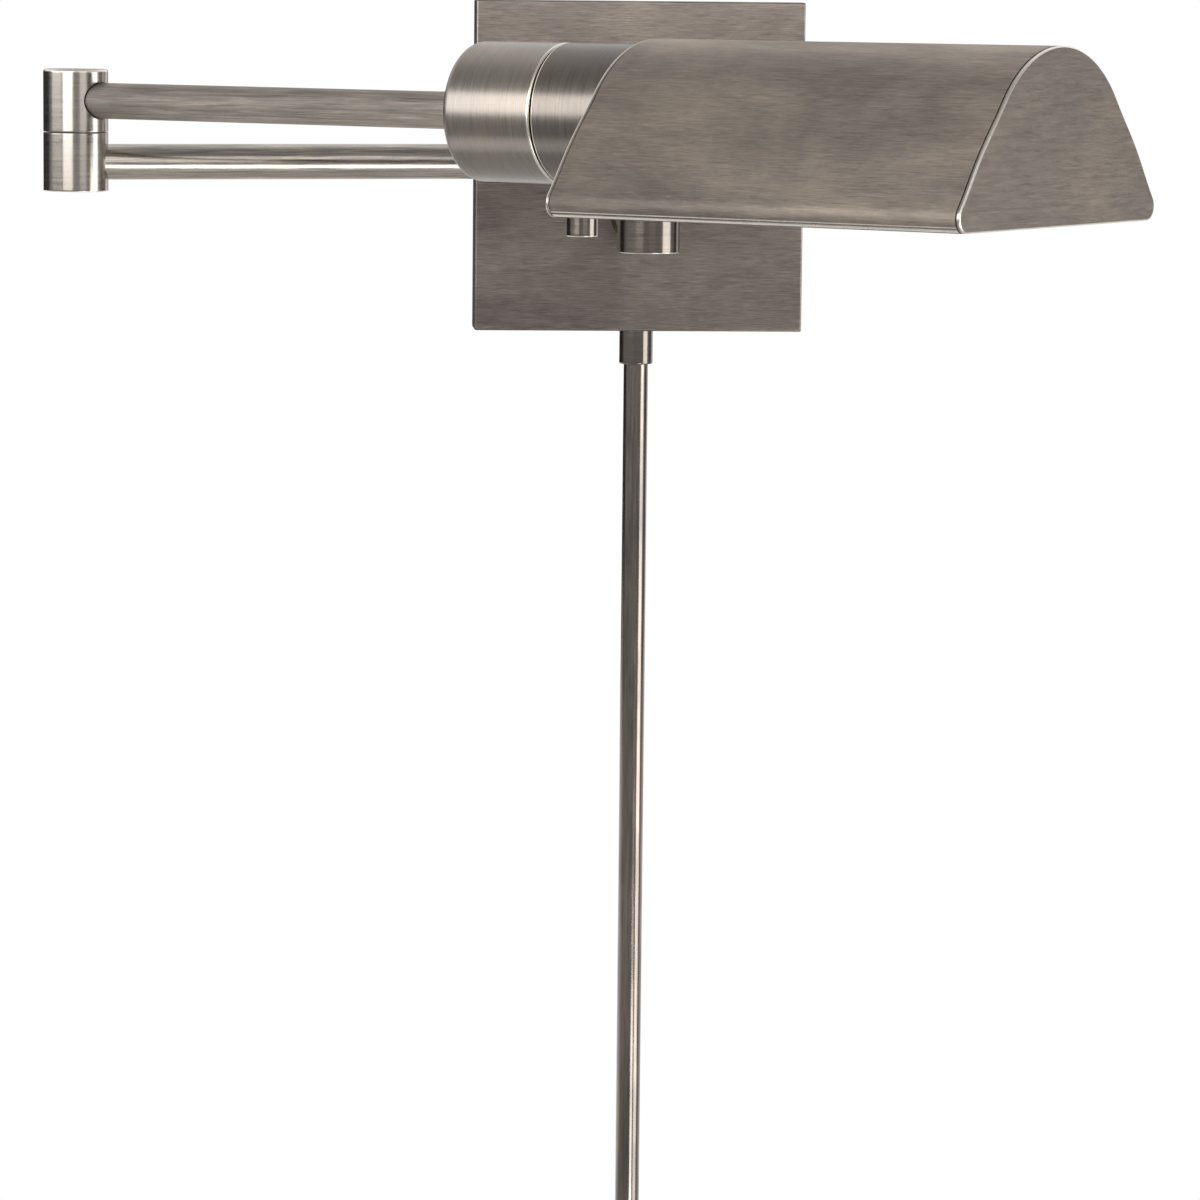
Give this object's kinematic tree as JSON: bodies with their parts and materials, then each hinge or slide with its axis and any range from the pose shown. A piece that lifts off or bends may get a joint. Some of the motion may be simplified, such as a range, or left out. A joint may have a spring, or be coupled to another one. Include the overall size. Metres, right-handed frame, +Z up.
{
  "type": "swing arm wall light",
  "caption": "Wall light with a square canopy, a double swing arm, a turning tent-shaped shade, a rotary switch knob and a vertical cord cover tube.",
  "frame": {"origin": "centre of the canopy's open back on the wall, on the crossbar's back face", "axes": "+X right as seen from the room, +Y into the wall, +Z up"},
  "size_m": [0.3369, 0.3713, 0.4293],
  "materials": {
    "antique_nickel": "brushed antique nickel with a warm streaky patina",
    "polished_nickel": "turned antique nickel, more polished",
    "plain_steel": "plain zinc-plated steel",
    "brass": "plain turned brass",
    "black_plastic": "moulded black plastic",
    "lampholder": "glazed white lampholder body",
    "bulb_glass": "frosted bulb glass"
  },
  "bodies": {
    "wall_mount": {"canopy": "antique_nickel", "crossbar": "plain_steel", "canopy_screws": "antique_nickel", "ground_screw": "brass", "stem": "polished_nickel", "stem_collar": "polished_nickel", "stem_washer": "plain_steel", "stem_nut": "brass", "hub_base": "polished_nickel", "hub_bottom_cap": "polished_nickel", "hub_pin": "brass", "hub_washer": "black_plastic", "hub_pin_nut": "brass", "rod_ferrule": "polished_nickel", "ferrule_nut": "brass", "cord_cover_tube": "polished_nickel", "end_bushing": "black_plastic"},
    "inner_arm": {"hub_knuckle": "polished_nickel", "hub_top_cap": "polished_nickel", "inner_arm_tube": "antique_nickel", "elbow_lower": "polished_nickel", "elbow_bottom_cap": "polished_nickel", "elbow_pin": "brass", "elbow_washer": "black_plastic", "elbow_pin_nut": "brass"},
    "outer_arm": {"elbow_upper": "polished_nickel", "elbow_top_cap": "polished_nickel", "outer_arm_tube": "antique_nickel", "arm_nut": "brass", "rear_housing": "antique_nickel", "bearing_plate": "plain_steel", "roll_nipple": "brass", "roll_washer": "polished_nickel", "roll_nut": "brass"},
    "lamp_head": {"front_housing": "antique_nickel", "turn_plate": "plain_steel", "shade_body": "antique_nickel", "shade_inner_end": "antique_nickel", "shade_outer_end": "antique_nickel", "shade_ring": "plain_steel", "socket_body": "lampholder", "socket_shell": "brass", "socket_contact": "brass", "socket_screws": "plain_steel", "bulb_base": "brass", "bulb_glass": "bulb_glass", "switch_body": "black_plastic"},
    "dimmer_knob": {"switch_knob": "polished_nickel", "switch_shaft": "brass", "knob_set_screw": "plain_steel"}
  },
  "joints": [
    {"name": "wall_swing", "type": "hinge", "parent": "wall_mount", "child": "inner_arm", "pos_m": [0, -0.059, 0.0034], "axis": [0, 0, 1], "range_deg": [-8, 150]},
    {"name": "elbow_swing", "type": "hinge", "parent": "inner_arm", "child": "outer_arm", "pos_m": [-0.19233, -0.10164, 0.0236], "axis": [0, 0, -1], "range_deg": [-10, 130]},
    {"name": "head_roll", "type": "hinge", "parent": "outer_arm", "child": "lamp_head", "pos_m": [-0.03802, -0.22004, 0.0236], "axis": [0.7934, -0.6088, 0], "range_deg": [-90, 90]},
    {"name": "switch_turn", "type": "hinge", "parent": "lamp_head", "child": "dimmer_knob", "pos_m": [-0.03366, -0.22339, -0.0064], "axis": [0, 0, -1], "range_deg": [0, 270]}
  ]
}
